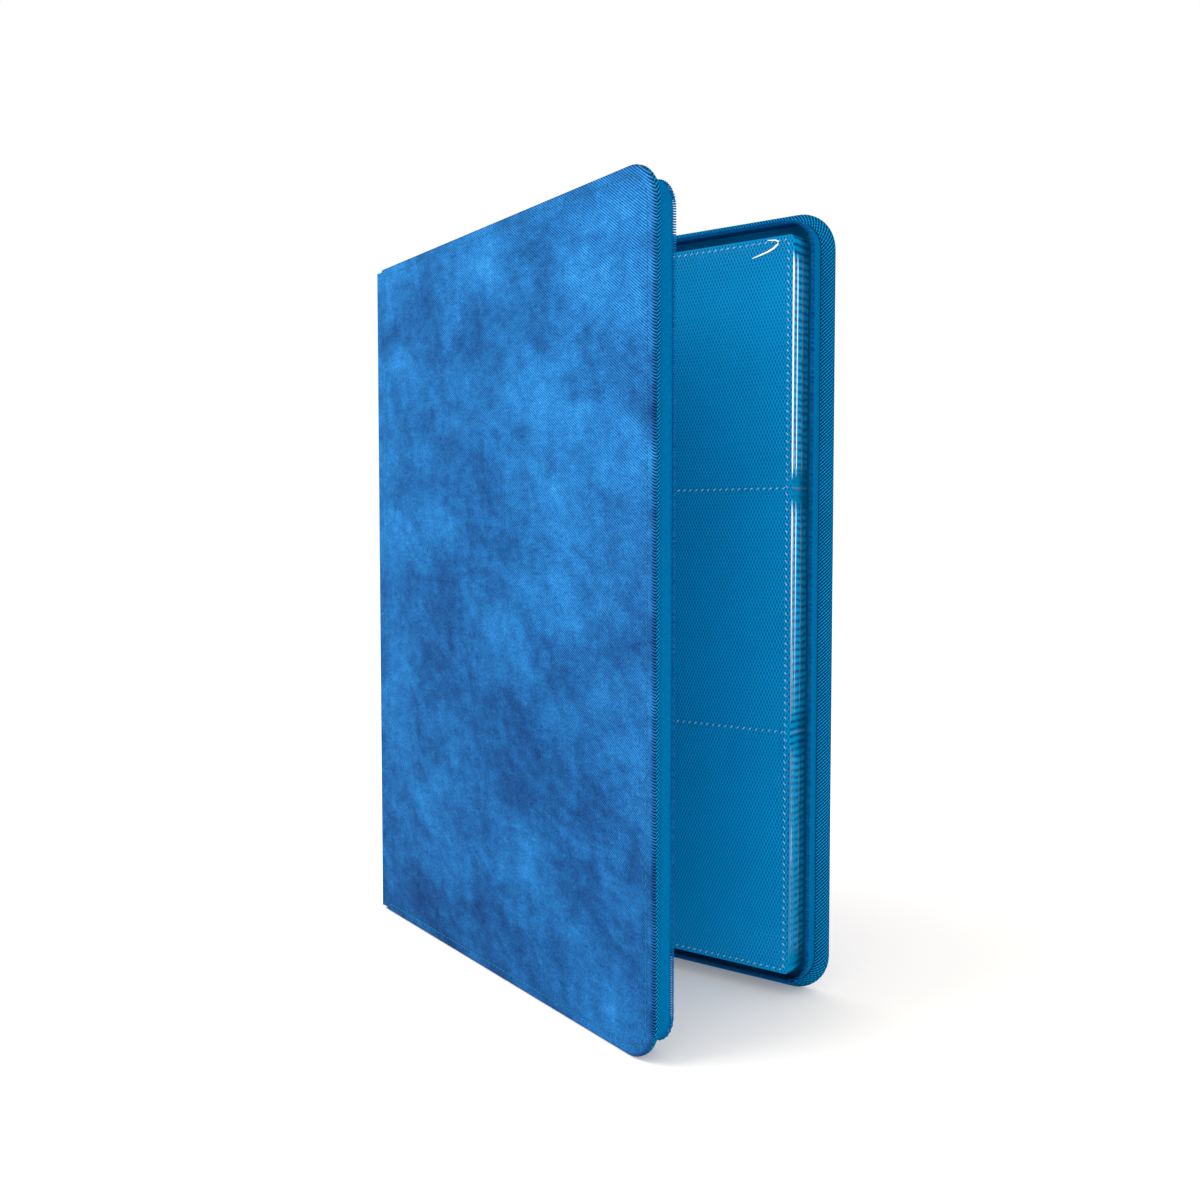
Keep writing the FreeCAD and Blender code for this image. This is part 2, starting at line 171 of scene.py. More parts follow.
class Shape:
    """Points, faces, the cloth coordinate of each point and the material number of each face."""

    def __init__(self):
        self.points = []
        self.faces = []
        self.cloth = []
        self.kinds = []

    def add(self, points, faces, cloth=None, kind=0):
        first = len(self.points)
        self.points += [Vector(point) for point in points]
        self.cloth += [tuple(spot) for spot in (cloth or points)]
        self.faces += [tuple(first + index for index in face) for face in faces]
        self.kinds += [kind] * len(faces)

    def add_grid(self, rows, cloth=None, closed=False, kind=0, caps=False):
        """Rows of points; closed rows make a tube, and caps close its two ends."""
        columns = len(rows[0])
        faces = grid_faces(len(rows), columns, closed)
        if caps:
            last = (len(rows) - 1) * columns
            faces.append(tuple(reversed(range(columns))))
            faces.append(tuple(range(last, last + columns)))
        flat_cloth = [spot for row in cloth for spot in row] if cloth else None
        self.add([point for row in rows for point in row], faces, flat_cloth, kind)


def add_object(name, data):
    thing = bpy.data.objects.new(name, data)
    bpy.context.scene.collection.objects.link(thing)
    return thing


def make_piece(name, shape, materials, weld=1e-6, face_out=True):
    """A named object from a shape, smooth except where it turns by more than SHARP_TURN."""
    mesh = bpy.data.meshes.new(name)
    mesh.from_pydata([tuple(point) for point in shape.points], [], shape.faces)
    attribute = mesh.attributes.new("cloth", "FLOAT_VECTOR", "POINT")
    attribute.data.foreach_set("vector", [value for spot in shape.cloth for value in spot])
    mesh.polygons.foreach_set("material_index", shape.kinds)
    for material in materials:
        mesh.materials.append(material)
    work = bmesh.new()
    work.from_mesh(mesh)
    bmesh.ops.remove_doubles(work, verts=work.verts, dist=weld)
    bmesh.ops.dissolve_degenerate(work, edges=work.edges, dist=weld)
    if face_out:
        bmesh.ops.recalc_face_normals(work, faces=work.faces)
    work.to_mesh(mesh)
    work.free()
    mesh.shade_smooth()
    mesh.set_sharp_from_angle(angle=SHARP_TURN)
    return add_object(name, mesh)


def tube(shape, path, radius, sides, kind=0, flatten=None):
    """Adds a round tube along a path; flatten is a direction in which it is half as thick.

    radius is a number, or a function of the share of the path that is done.
    """
    rows = []
    cloth = []
    travelled = 0.0
    for i, spot in enumerate(path):
        ahead = path[min(i + 1, len(path) - 1)]
        behind = path[max(i - 1, 0)]
        direction = (ahead - behind).normalized()
        helper = Vector((0, 0, 1)) if abs(direction.z) < 0.9 else Vector((0, 1, 0))
        across = direction.cross(helper).normalized()
        other = direction.cross(across).normalized()
        wide = radius(i / (len(path) - 1)) if callable(radius) else radius
        row = []
        for side in range(sides):
            turn = 2 * math.pi * side / sides
            offset = across * math.cos(turn) * wide + other * math.sin(turn) * wide
            if flatten is not None:
                offset -= flatten * offset.dot(flatten) * 0.5
            row.append(spot + offset)
        if i:
            travelled += (spot - path[i - 1]).length
        rows.append(row)
        cloth.append([(travelled, share * 2 * MM, 0) for share in steps(0, 1, 1 / (sides - 1))])
    shape.add_grid(rows, cloth, closed=True, kind=kind, caps=True)


def thicken(piece, thickness, offset):
    """Gives a sheet its thickness; offset -1 puts it behind the faces and 1 in front of them."""
    wall = piece.modifiers.new("thickness", "SOLIDIFY")
    wall.thickness = thickness
    wall.offset = offset


def ripple(x, y, z, scale):
    """Smooth noise from -1 to 1 that changes over about that length."""
    return noise.noise(Vector((x, y, z)) / scale)


def settle(piece, body, slot, *nodes):
    """The piece rides on the body and stands for the nodes, which it hides; slot is not used."""
    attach(piece, body)
    if nodes:
        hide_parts(*nodes)
    return piece


# ---------------- materials

def srgb(red, green, blue):
    """Linear colour from screen values of 0 to 255."""
    shares = [value / 255 for value in (red, green, blue)]
    linear = [share / 12.92 if share <= 0.04045 else ((share + 0.055) / 1.055) ** 2.4 for share in shares]
    return (*linear, 1.0)


class Recipe:
    """Builds one procedural material. Numbers and sockets can be mixed freely."""

    def __init__(self, name, roughness=0.7, **settings):
        self.material = bpy.data.materials.new(name)
        self.material.use_nodes = True
        self.nodes = self.material.node_tree.nodes
        self.links = self.material.node_tree.links
        self.shader = self.nodes["Principled BSDF"]
        self.shader.inputs["Roughness"].default_value = roughness
        for key, value in settings.items():
            self.shader.inputs[key.replace("_", " ").title().replace("Ior", "IOR")].default_value = value

    def put(self, socket, value):
        if isinstance(value, bpy.types.NodeSocket):
            self.links.new(value, socket)
        else:
            socket.default_value = value

    def math(self, operation, *values):
        node = self.nodes.new("ShaderNodeMath")
        node.operation = operation
        for socket, value in zip(node.inputs, values):
            self.put(socket, value)
        return node.outputs[0]

    def times(self, value, factor):
        return self.math("MULTIPLY", value, factor)

    def scaled(self, value, factor, plus):
        """value * factor + plus."""
        return self.math("MULTIPLY_ADD", value, factor, plus)

    def cloth(self):
        """The cloth coordinate in millimetres, as three sockets."""
        node = self.nodes.new("ShaderNodeAttribute")
        node.attribute_name = "cloth"
        return self.in_millimetres(node.outputs["Vector"])

    def place(self):
        """The place in the object's own frame in millimetres, as three sockets."""
        node = self.nodes.new("ShaderNodeTexCoord")
        return self.in_millimetres(node.outputs["Object"])

    def in_millimetres(self, vector):
        scale = self.nodes.new("ShaderNodeVectorMath")
        scale.operation = "SCALE"
        scale.inputs["Scale"].default_value = 1000.0
        self.put(scale.inputs[0], vector)
        split = self.nodes.new("ShaderNodeSeparateXYZ")
        self.put(split.inputs[0], scale.outputs[0])
        return split.outputs

    def noise(self, x, y, z, size, detail=3.0, rough=0.55, distortion=0.0):
        """Noise of 0 to 1 whose blots are about that many millimetres across."""
        join = self.nodes.new("ShaderNodeCombineXYZ")
        for socket, value in zip(join.inputs, (x, y, z)):
            self.put(socket, value)
        node = self.nodes.new("ShaderNodeTexNoise")
        self.put(node.inputs["Vector"], join.outputs[0])
        node.inputs["Scale"].default_value = 1.0 / size
        node.inputs["Detail"].default_value = detail
        node.inputs["Roughness"].default_value = rough
        node.inputs["Distortion"].default_value = distortion
        return node.outputs["Fac"]

    def wave(self, value, pitch):
        """Sine of 0 to 1 that repeats every pitch."""
        turned = self.times(value, 2 * math.pi / pitch)
        return self.scaled(self.math("SINE", turned), 0.5, 0.5)

    def lines(self, x, y, pitch, slope):
        """Parallel lines that rise by slope, a pitch apart measured upwards."""
        return self.wave(self.scaled(x, -slope, y), pitch)

    def ramp(self, value, *stops):
        """Colours at positions, as (position, colour)."""
        node = self.nodes.new("ShaderNodeValToRGB")
        elements = node.color_ramp.elements
        while len(elements) < len(stops):
            elements.new(0.5)
        for element, (position, colour) in zip(elements, stops):
            element.position = position
            element.color = colour
        self.put(node.inputs[0], value)
        return node.outputs[0]

    def mix(self, share, first, second):
        node = self.nodes.new("ShaderNodeMix")
        node.data_type = "RGBA"
        self.put(node.inputs[0], share)
        self.put(node.inputs[6], first)
        self.put(node.inputs[7], second)
        return node.outputs[2]

    def shade(self, colour, factor):
        """The colour made darker or lighter by a factor socket."""
        node = self.nodes.new("ShaderNodeVectorMath")
        node.operation = "SCALE"
        self.put(node.inputs[0], colour)
        self.put(node.inputs["Scale"], factor)
        return node.outputs[0]

    def finish(self, colour, height=None, depth=0.1, roughness=None):
        """Sets the colour and a bump of that many millimetres, and returns the material."""
        self.put(self.shader.inputs["Base Color"], colour)
        if roughness is not None:
            self.put(self.shader.inputs["Roughness"], roughness)
        if height is not None:
            bump = self.nodes.new("ShaderNodeBump")
            bump.inputs["Distance"].default_value = depth * MM
            bump.inputs["Strength"].default_value = 1.0
            self.put(bump.inputs["Height"], height)
            self.put(self.shader.inputs["Normal"], bump.outputs[0])
        return self.material


def suede_material():
    """Brushed twill with a cloudy nap, as the covers and spine wear it. Painted light makes it lighter
    towards the top, and painted shade darkens it over the rolled rim.
    """
    r = Recipe("suede_twill", 0.85, specular_ior_level=0.06)
    x, y, rim = r.cloth()
    wide = r.times(x, 0.55)
    leaning = r.scaled(x, 0.35, y)
    clouds = r.noise(wide, y, 0.0, 70, detail=4, rough=0.55, distortion=0.3)
    blots = r.noise(wide, leaning, 4.0, 24, detail=5, rough=0.6, distortion=0.6)
    long_way = r.times(leaning, 0.5)
    strokes = r.noise(r.times(x, 0.8), long_way, 9.0, 8, detail=4, rough=0.65)
    rubbed = r.noise(wide, y, 0.0, 4.5, detail=4, rough=0.75)
    nap_and_top_light = r.scaled(blots, 0.48, r.times(clouds, 0.62))
    nap_and_top_light = r.scaled(strokes, 0.26, nap_and_top_light)
    nap_and_top_light = r.scaled(rubbed, 0.34, nap_and_top_light)
    # painted light: the tone grows lighter with height (y, in mm), standing in for light from above
    nap_and_top_light = r.scaled(y, 0.00022, r.math("SUBTRACT", nap_and_top_light, 0.136))
    tone = r.ramp(
        nap_and_top_light,
        (0.54, srgb(12, 56, 108)),
        (0.66, srgb(19, 76, 132)),
        (0.76, srgb(26, 94, 154)),
        (0.86, srgb(33, 110, 174)),
        (0.98, srgb(46, 129, 194)),
    )
    twill = r.lines(x, y, 1.08, -0.65)
    yarn = r.lines(x, y, 0.62, 1.3)
    grain = r.noise(x, y, 0.0, 1.15, detail=3, rough=0.75)
    along = r.scaled(x, 0.0026, r.times(y, 0.0012))
    shown = r.scaled(rubbed, 0.7, r.scaled(rim, 1.5, along))
    weave = r.scaled(yarn, 0.2, twill)
    depth = r.times(r.math("SUBTRACT", weave, 0.55), shown)
    factor = r.math("ADD", r.scaled(grain, 2.0, 0.03), depth)
    # painted shade: up to 55 % darker over the rolled rim at the cover's edge
    factor = r.times(r.math("MAXIMUM", factor, 0.3), r.scaled(rim, -0.55, 1.0))
    height = r.scaled(grain, 0.7, weave)
    return r.finish(r.shade(tone, factor), height, 0.07)


def twill_material():
    """Coarse twill of the edge band; its cloth coordinate runs along and across the band."""
    r = Recipe("edge_twill", 0.85, specular_ior_level=0.0)
    x, y, z = r.cloth()
    wobble = r.times(r.noise(x, y, z, 2.2), 0.4)
    along = r.math("ADD", x, wobble)
    ribs = r.lines(y, along, 1.35, 0.9)
    crossing = r.lines(y, along, 2.0, -1.1)
    weave = r.times(ribs, r.scaled(crossing, 0.45, 0.55))
    fade = r.noise(x, y, z, 14, detail=2)
    tone = r.ramp(weave, (0.08, srgb(0, 40, 84)), (0.4, srgb(0, 84, 136)), (0.8, srgb(6, 148, 200)))
    factor = r.scaled(fade, 0.3, 0.8)
    return r.finish(r.shade(tone, factor), weave, 0.25)


def tape_material():
    """Smooth knitted zipper tape with fine ribs along it."""
    r = Recipe("zip_tape", 0.7, specular_ior_level=0.0)
    x, y, z = r.cloth()
    ribs = r.wave(y, 0.7)
    knit = r.wave(x, 0.45)
    grain = r.noise(x, y, z, 1.2, detail=2)
    tone = r.ramp(grain, (0.3, srgb(0, 90, 138)), (0.7, srgb(0, 104, 155)))
    height = r.scaled(knit, 0.4, ribs)
    factor = r.scaled(height, 0.06, 0.93)
    return r.finish(r.shade(tone, factor), height, 0.03)


def coil_material():
    """Bent monofilament of the zipper coil."""
    r = Recipe("coil_filament", 0.6, specular_ior_level=0.0)
    x, y, z = r.cloth()
    grain = r.noise(x, y, z, 5, detail=3)
    tone = r.ramp(grain, (0.3, srgb(4, 74, 132)), (0.7, srgb(20, 108, 170)))
    return r.finish(tone, grain, 0.02)


def thread_material(name, dark, light, roughness=0.6):
    """Twisted sewing thread."""
    r = Recipe(name, roughness, specular_ior_level=0.15)
    x, y, z = r.cloth()
    twist = r.lines(x, y, 0.35, 1.2)
    fuzz = r.noise(x, y, z, 0.6, detail=2)
    tone = r.mix(r.scaled(fuzz, 0.4, r.times(twist, 0.6)), dark, light)
    return r.finish(tone, twist, 0.06)


def page_cloth_material():
    """Dobby weave of the leaves: staggered short floats on a bright ground, with painted shade that
    darkens it above 170 mm towards the top of the leaf.
    """
    r = Recipe("page_weave", 0.6, specular_ior_level=0.04)
    x, y, z = r.cloth()
    columns = r.math("COSINE", r.times(x, 2 * math.pi / 1.45))
    rows = r.math("COSINE", r.times(y, 2 * math.pi / 2.95))
    floats = r.scaled(r.times(columns, rows), 0.5, 0.45)
    floats = r.scaled(r.times(rows, rows), 0.12, floats)
    uneven = r.noise(x, y, z, 30, detail=3)
    tone = r.ramp(
        floats,
        (0.0, srgb(2, 166, 226)),
        (0.4, srgb(0, 150, 210)),
        (0.62, srgb(0, 128, 188)),
        (0.84, srgb(0, 94, 152)),
    )
    # painted shade: darker by 0.18 % per millimetre above 170 mm
    above = r.math("MAXIMUM", r.math("SUBTRACT", y, 170.0), 0.0)
    factor = r.scaled(above, -0.0018, r.scaled(uneven, 0.16, 0.95))
    return r.finish(r.shade(tone, factor), r.math("SUBTRACT", 1.0, floats), 0.04)


def page_edge_material():
    """Cut edge of the leaves, where the weft shows as bars, with painted light that lightens the leaves
    lying nearer the rear cover.
    """
    r = Recipe("page_edge", 0.7, specular_ior_level=0.04)
    x, y, z = r.place()
    sway = r.times(r.noise(x, y, z, 9, detail=2), 3.0)
    bars = r.wave(r.math("ADD", z, sway), 2.9)
    tone = r.ramp(bars, (0.05, srgb(0, 104, 152)), (0.4, srgb(0, 138, 192)), (0.9, srgb(4, 160, 214)))
    for seam in POCKET_ROWS[1:-1]:
        off = r.math("ABSOLUTE", r.math("SUBTRACT", z, seam / MM))
        near = r.math("MAXIMUM", r.scaled(off, -1.6, 1.0), 0.0)
        tone = r.mix(near, tone, srgb(140, 142, 150))
    # painted light: 6 % lighter per millimetre towards the rear cover, against the shade deep in the stack
    stack_painted_light = r.scaled(y, 0.06, 1.0 - 0.06 * FRONT_LEAF / MM)
    return r.finish(r.shade(tone, stack_painted_light), bars, 0.04)


def lining_material():
    """Plain fine weave of the inner linings and the binding."""
    r = Recipe("inner_lining", 0.8, specular_ior_level=0.05)
    x, y, z = r.cloth()
    weave = r.times(r.wave(x, 0.7), r.wave(y, 0.7))
    uneven = r.noise(x, y, z, 18, detail=3)
    tone = r.ramp(uneven, (0.3, srgb(0, 112, 158)), (0.7, srgb(0, 128, 178)))
    factor = r.scaled(weave, 0.3, 0.85)
    return r.finish(r.shade(tone, factor), weave, 0.08)


def film_material():
    """Clear soft pocket film, a little wavy."""
    r = Recipe("pocket_film", 0.12, specular_ior_level=0.5, alpha=0.07)
    x, y, z = r.cloth()
    waves = r.noise(x, y, z, 16, detail=2)
    tone = r.ramp(waves, (0.3, srgb(0, 110, 170)), (0.7, srgb(20, 140, 200)))
    return r.finish(tone, waves, 0.3)


def film_edge_material():
    """Folded and welded film with a painted highlight: white high up on the leaf, fading to the film's
    blue lower down.
    """
    r = Recipe("film_edge", 0.2, specular_ior_level=0.5, coat_weight=0.6, coat_roughness=0.08)
    x, y, z = r.place()
    waves = r.noise(x, y, z, 22, detail=2)
    # painted highlight: white from about 200 mm up, fading out below
    glint = r.ramp(
        r.scaled(waves, 0.06, r.times(z, 0.003125)),
        (0.30, (0.0, 0.0, 0.0, 1)),
        (0.44, (0.12, 0.12, 0.12, 1)),
        (0.62, (0.85, 0.85, 0.85, 1)),
        (0.70, (1.0, 1.0, 1.0, 1)),
    )
    return r.finish(r.mix(glint, srgb(28, 112, 160), (1.0, 1.0, 1.0, 1)), waves, 0.1)


def dim_glint_material():
    """Film edges deeper in the stack: thin greyish lines, a painted dim highlight."""
    r = Recipe("film_dim_glint", 0.3, specular_ior_level=0.3)
    x, y, z = r.place()
    waves = r.noise(x, y, z, 12, detail=3)
    tone = r.ramp(waves, (0.35, srgb(70, 96, 122)), (0.5, srgb(120, 130, 146)), (0.7, srgb(150, 180, 205)))
    return r.finish(tone, waves, 0.1)


def foam_material():
    """Open-pored pale foam."""
    r = Recipe("foam_core", 0.9)
    x, y, z = r.cloth()
    pores = r.noise(x, y, z, 0.8, detail=4, rough=0.7)
    return r.finish(r.ramp(pores, (0.35, srgb(196, 196, 188)), (0.65, srgb(232, 232, 226))), pores, 0.2)


def board_material():
    """Grey pressed board with fibres."""
    r = Recipe("pressed_board", 0.85)
    x, y, z = r.place()
    fibres = r.noise(r.times(x, 4.0), y, z, 3.0, detail=5, rough=0.7)
    return r.finish(r.ramp(fibres, (0.3, srgb(150, 142, 130)), (0.7, srgb(188, 180, 168))), fibres, 0.05)


def metal_material(name, dark, light, roughness):
    """Brushed or lacquered metal with fine scratches along X."""
    r = Recipe(name, roughness, metallic=1.0)
    x, y, z = r.place()
    scratches = r.noise(r.times(x, 0.15), r.times(y, 6.0), z, 0.8, detail=4)
    wear = r.scaled(scratches, 0.25, roughness - 0.1)
    return r.finish(r.ramp(scratches, (0.3, dark), (0.7, light)), scratches, 0.02, wear)


SUEDE = suede_material()
TWILL = twill_material()
TAPE = tape_material()
COIL = coil_material()
TEAL_THREAD = thread_material("teal_thread", srgb(20, 112, 154), srgb(48, 150, 192))
WHITE_THREAD = thread_material("white_thread", srgb(176, 206, 234), srgb(244, 250, 255), 0.5)
PAGE_CLOTH = page_cloth_material()
PAGE_EDGE = page_edge_material()
LINING = lining_material()
FILM = film_material()
FILM_EDGE = film_edge_material()
DIM_GLINT = dim_glint_material()
FOAM = foam_material()
BOARD = board_material()
STEEL = metal_material("bare_steel", srgb(150, 152, 158), srgb(214, 216, 220), 0.3)
LACQUER = metal_material("lacquered_slider", srgb(20, 62, 104), srgb(40, 98, 150), 0.35)


# ---------------- stage, light and camera

def make_stage():
    """Warm white floor that fades into plain white light far from the album."""
    half = 6.0
    fade_from, fade_over = 350.0, 500.0
    near_glow, far_glow = 0.19, 0.9
    floor = Shape()
    floor.add_grid([[Vector((x, y, 0)) for x in (-half, half)] for y in (-half, half)])
    r = Recipe("studio_floor", 0.9, specular_ior_level=0.1)
    x, y, z = r.place()
    soft = r.noise(x, y, z, 900, detail=1)
    paper = r.ramp(soft, (0.0, (0.88, 0.845, 0.80, 1)), (1.0, (0.90, 0.865, 0.82, 1)))
    distance = r.math("SQRT", r.math("ADD", r.times(x, x), r.times(y, y)))
    past = r.scaled(distance, 1 / fade_over, -fade_from / fade_over)
    far = r.math("SMOOTH_MIN", r.math("MAXIMUM", past, 0.0), 1.0, 0.2)
    r.shader.inputs["Emission Color"].default_value = (1, 1, 1, 1)
    r.put(r.shader.inputs["Emission Strength"], r.scaled(far, far_glow, near_glow))
    r.finish(r.mix(far, paper, (0.0, 0.0, 0.0, 1)))
    piece = make_piece("studio_floor", floor, [r.material])


def area_light(name, place, target, width, height, power):
    """A rectangular lamp at a place, turned to the target."""
    data = bpy.data.lights.new(name, "AREA")
    data.shape = "RECTANGLE"
    data.size = width
    data.size_y = height
    data.energy = power
    lamp = add_object(name, data)
    lamp.location = place
    lamp.rotation_euler = (Vector(target) - Vector(place)).to_track_quat("-Z", "Y").to_euler()


def make_light():
    """White surroundings, a soft light high on the left and a weak one towards the free edges."""
    world = bpy.data.worlds.new("studio")
    world.use_nodes = True
    background = world.node_tree.nodes["Background"]
    background.inputs["Color"].default_value = (1, 1, 1, 1)
    background.inputs["Strength"].default_value = 1.0
    bpy.context.scene.world = world
    middle = (0, 0, 0.16)
    area_light("top_key", (-0.55, -0.75, 1.25), middle, 0.9, 0.9, 13)
    area_light("free_edge_fill", (1.1, -0.45, 0.12), middle, 0.6, 0.3, 5)


def make_camera():
    """Stands in front of the free edges at the height where the covers' level lines look level."""
    data = bpy.data.cameras.new("camera")
    data.sensor_width = 36.0
    data.lens = 38.72
    camera = add_object("camera", data)
    camera.location = (0.36275, -0.42182, 0.19097)
    tilt_down, turn_left = 3.035, 37.467
    camera.rotation_euler = (math.radians(90 - tilt_down), 0, math.radians(turn_left))
    bpy.context.scene.camera = camera


make_stage()
make_light()
make_camera()
bpy.context.scene.view_settings.view_transform = "Standard"


# ---------------- covers

def cloth_spot(station, inset, around=0.0):
    """Where a point of a cover lies on its flat cloth; around is what wraps over the edge.

    The third number grows from 0 to 1 over the rolled rim.
    """
    along, height = station.at(inset - around)
    return along, height, MM * min(1.0, max(0.0, (ROLL - inset + around) / (0.9 * ROLL)))


def panel(shape, place, profile, left, spacing, field):
    """A face closed by rings of (inset, depth) round the outline and a grid inside them.

    field(along, height) is the depth of the inner part; a ring without a depth lies on it too.
    """
    stations = route(left, spacing)
    rows = []
    cloth = []
    for inset, depth in profile:
        around = max(0.0, depth - ROLL) if depth and inset < ROLL else 0.0
        row = []
        for station in stations:
            along, height = station.at(inset)
            row.append(place(along, field(along, height) if depth is None else depth, height))
        rows.append(row)
        cloth.append([cloth_spot(station, inset, around) for station in stations])
    shape.add_grid(rows, cloth)
    alongs = steps(left, FREE_EDGE - CORNER, spacing)
    heights = steps(CORNER, COVER_HEIGHT - CORNER, spacing)
    inner = [[(along, height) for along in alongs] for height in heights]
    grid = [[place(along, field(along, height), height) for along, height in row] for row in inner]
    shape.add_grid(grid, [[(along, height, 0.0) for along, height in row] for row in inner])


def at_station(place, station, inset, depth):
    """The point of a cover at a station, inset from its outline and depth in from its face."""
    along, height = station.at(inset)
    return place(along, depth, height)


def face_relief(along, height):
    """How far the padded face stands out of its plane: soft dents over about 30 mm."""
    broad = 0.1 * MM * ripple(along, height, 0.3, 34 * MM)
    fine = 0.04 * MM * ripple(along, height, 0.7, 11 * MM)
    return broad + fine


def make_skin(side, place):
    """Padded outer cloth: wrapped edge, rolled rim, sunk stitch line and gently uneven field."""
    shape = Shape()
    stitch = STITCH_INSET
    rings = [(0.9 * MM, WRAP_DEPTH), (0.25 * MM, WRAP_DEPTH)]
    for turn in steps(0, 1, 0.2):
        angle = turn * math.pi / 2
        rings.append((ROLL * (1 - math.cos(angle)), ROLL * (1 - math.sin(angle))))
    rings += [
        (stitch - 1.2 * MM, -0.02 * MM),
        (stitch - 0.7 * MM, 0.03 * MM),
        (stitch - 0.3 * MM, 0.1 * MM),
        (stitch, 0.13 * MM),
        (stitch + 0.3 * MM, 0.1 * MM),
        (stitch + 0.8 * MM, 0.03 * MM),
    ]
    rings += [(stitch + more * MM, None) for more in (2.2, 4, 6, 8, 10)]
    rings.append((CORNER, None))

    def field(along, height):
        seam = abs(along - COVER_START - STITCH_INSET) / (0.5 * MM)
        sunk = 0.12 * MM * math.exp(-seam * seam)
        edge = min(FREE_EDGE - along, height, COVER_HEIGHT - height) - STITCH_INSET
        away = min(1.0, seam / 16, max(0.0, edge) / (8 * MM))
        return sunk - 0.03 * MM - (face_relief(along, height) + 0.05 * MM) * away

    panel(shape, place, rings, COVER_START, 2.0 * MM, field)
    piece = make_piece(f"{side}_cover_cloth", shape, [SUEDE], weld=2e-5)
    thicken(piece, 0.45 * MM, -1.0)
    settle(piece, f"{side}_cover", "suede_cloth", f"{side}_skin")


def stitch_run(shape, path, normal, length, radius, slant=0.0, parts=(-0.5, -0.4, 0.0, 0.4, 0.5)):
    """A row of separate stitches along a polyline, each one arched up along the normal.

    parts are the stops along one stitch, as shares of its length from its middle.
    """
    crest, dip = 1.1 * radius, 6.5 * radius
    lengths = [0.0]
    for before, after in zip(path, path[1:]):
        lengths.append(lengths[-1] + (after - before).length)
    count = int(lengths[-1] / STITCH_PITCH)
    segment = 0
    for number in range(count):
        middle = (number + 0.5) * lengths[-1] / count
        while lengths[segment + 1] < middle:
            segment += 1
        share = (middle - lengths[segment]) / (lengths[segment + 1] - lengths[segment])
        spot = path[segment].lerp(path[segment + 1], share)
        direction = (path[segment + 1] - path[segment]).normalized()
        if slant:
            sideways = normal.cross(direction).normalized()
            direction = (direction + sideways * slant).normalized()
        points = []
        for part in parts:
            lift = crest - dip * part * part
            points.append(spot + direction * part * length + normal * lift)
        tube(shape, points, lambda t: radius * (0.55 if t in (0.0, 1.0) else 1.0), sides=4)


def make_cover_stitching(side, place):
    """One lockstitched line round the cover and down beside the spine."""
    shape = Shape()
    stations = route(COVER_START + STITCH_INSET, 1.5 * MM)
    flat = [station.at(STITCH_INSET) for station in stations]
    down = steps(COVER_HEIGHT - 6 * MM, 6 * MM, 4 * MM)
    flat += [(COVER_START + STITCH_INSET, height) for height in down]
    path = [place(along, 0.12 * MM, height) for along, height in flat]
    outward = (place(0, 0, 0) - place(0, 1, 0)).normalized()
    stitch_run(shape, path, outward, 2.1 * MM, 0.21 * MM)
    piece = make_piece(f"{side}_cover_stitches", shape, [TEAL_THREAD], weld=1e-7)
    settle(piece, f"{side}_cover", "blue_thread", f"{side}_stitching")


def band_piece(name, place, profile, left, material, spacing=2.0 * MM, wobble=0.0, lean=1):
    """A closed section of (inset, depth) points swept round the cover's outline.

    lean is -1 where the cloth's pattern has to be mirrored.
    """
    shape = Shape()
    across = [0.0]
    for before, after in zip(profile, profile[1:]):
        across.append(across[-1] + math.dist(before, after))
    rows = []
    cloth = []
    for station in route(left, spacing):
        drift = wobble * ripple(station.travelled, 0.5, 0.2, 40 * MM)
        rows.append([at_station(place, station, inset + drift, depth) for inset, depth in profile])
        cloth.append([(station.travelled, lean * reach, 0.0) for reach in across])
    shape.add_grid(rows, cloth, closed=True, caps=True)
    return make_piece(name, shape, [material])


def thick_line(points, thickness):
    """A closed section around a line of (inset, depth) points, of that thickness on its inner side."""
    inner = []
    for i, point in enumerate(points):
        ahead = Vector(points[min(i + 1, len(points) - 1)])
        behind = Vector(points[max(i - 1, 0)])
        along = (ahead - behind).normalized()
        inner.append((point[0] + along.y * thickness, point[1] - along.x * thickness))
    return list(points) + inner[::-1]


def make_edge_band(side, place):
    """Twill bullnose from under the wrapped cover edge in to the zipper tape."""
    outer = [(inset * MM, depth * MM) for inset, depth in (
        (0.45, 1.35), (0.12, 1.5), (0.0, 1.8), (0.0, 2.4), (0.1, 2.9), (0.4, 3.4), (0.95, 4.0),
        (1.7, 4.65), (2.5, 5.25), (3.3, 5.75), (3.9, 6.0))]
    lean = -1 if side == "rear" else 1
    section = thick_line(outer, 0.55 * MM)
    piece = band_piece(f"{side}_edge_band", place, section, BAND_START, TWILL, 1.5 * MM, lean=lean)
    settle(piece, f"{side}_cover", "twill", f"{side}_edge_wall")


def make_tape(side, place):
    """Flat tape from inside the band to the coil."""
    near, far = TAPE_INSET - 0.22 * MM, TAPE_INSET + 0.22 * MM
    rungs = steps(LINING_DEPTH + 0.1 * MM, TAPE_END + 0.3 * MM, 0.8 * MM)
    profile = [(near, depth) for depth in rungs] + [(far, depth) for depth in reversed(rungs)]
    piece = band_piece(f"{side}_zipper_tape", place, profile, BAND_START, TAPE, wobble=0.06 * MM)
    settle(piece, f"{side}_cover", "tape", f"{side}_zip_tape")


